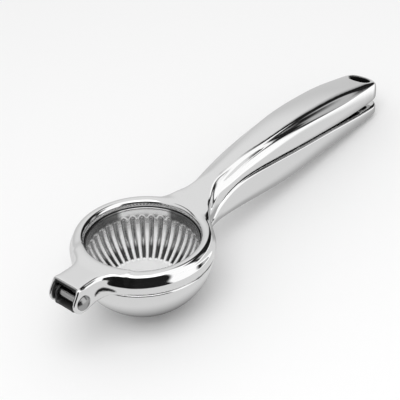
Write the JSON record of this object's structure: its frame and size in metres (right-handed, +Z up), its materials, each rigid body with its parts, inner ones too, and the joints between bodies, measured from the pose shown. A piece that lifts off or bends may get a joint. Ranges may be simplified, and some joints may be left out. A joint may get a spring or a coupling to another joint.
{
  "type": "lemon squeezer",
  "caption": "Hand-held hinged lemon squeezer with a fluted press cup in a round ring, a half-ball bowl with drain slots and a long split handle.",
  "frame": {"origin": "on the ground under the centre of the closed tool's bounding box, the tool lying on its bowl and the end of its lower handle", "axes": "+X along the tool to the handles' end, +Z up, -Y towards the side of the pin's domed head"},
  "size_m": [0.2536, 0.0738, 0.0505],
  "materials": {
    "polished_casting": "mirror-polished casting",
    "cup_metal": "satin, polished on the floor",
    "pin_metal": "polished rivet"
  },
  "bodies": {
    "lower": {"lower_lever": "polished_casting"},
    "upper": {"upper_lever": "polished_casting", "press_cup": "cup_metal", "hinge_pin": "pin_metal", "pin_cap": "pin_metal"}
  },
  "joints": [
    {"name": "lever_hinge", "type": "hinge", "parent": "lower", "child": "upper", "pos_m": [-0.12029, 0, 0.04154], "axis": [0, -1, 0], "range_deg": [0, 100]}
  ]
}
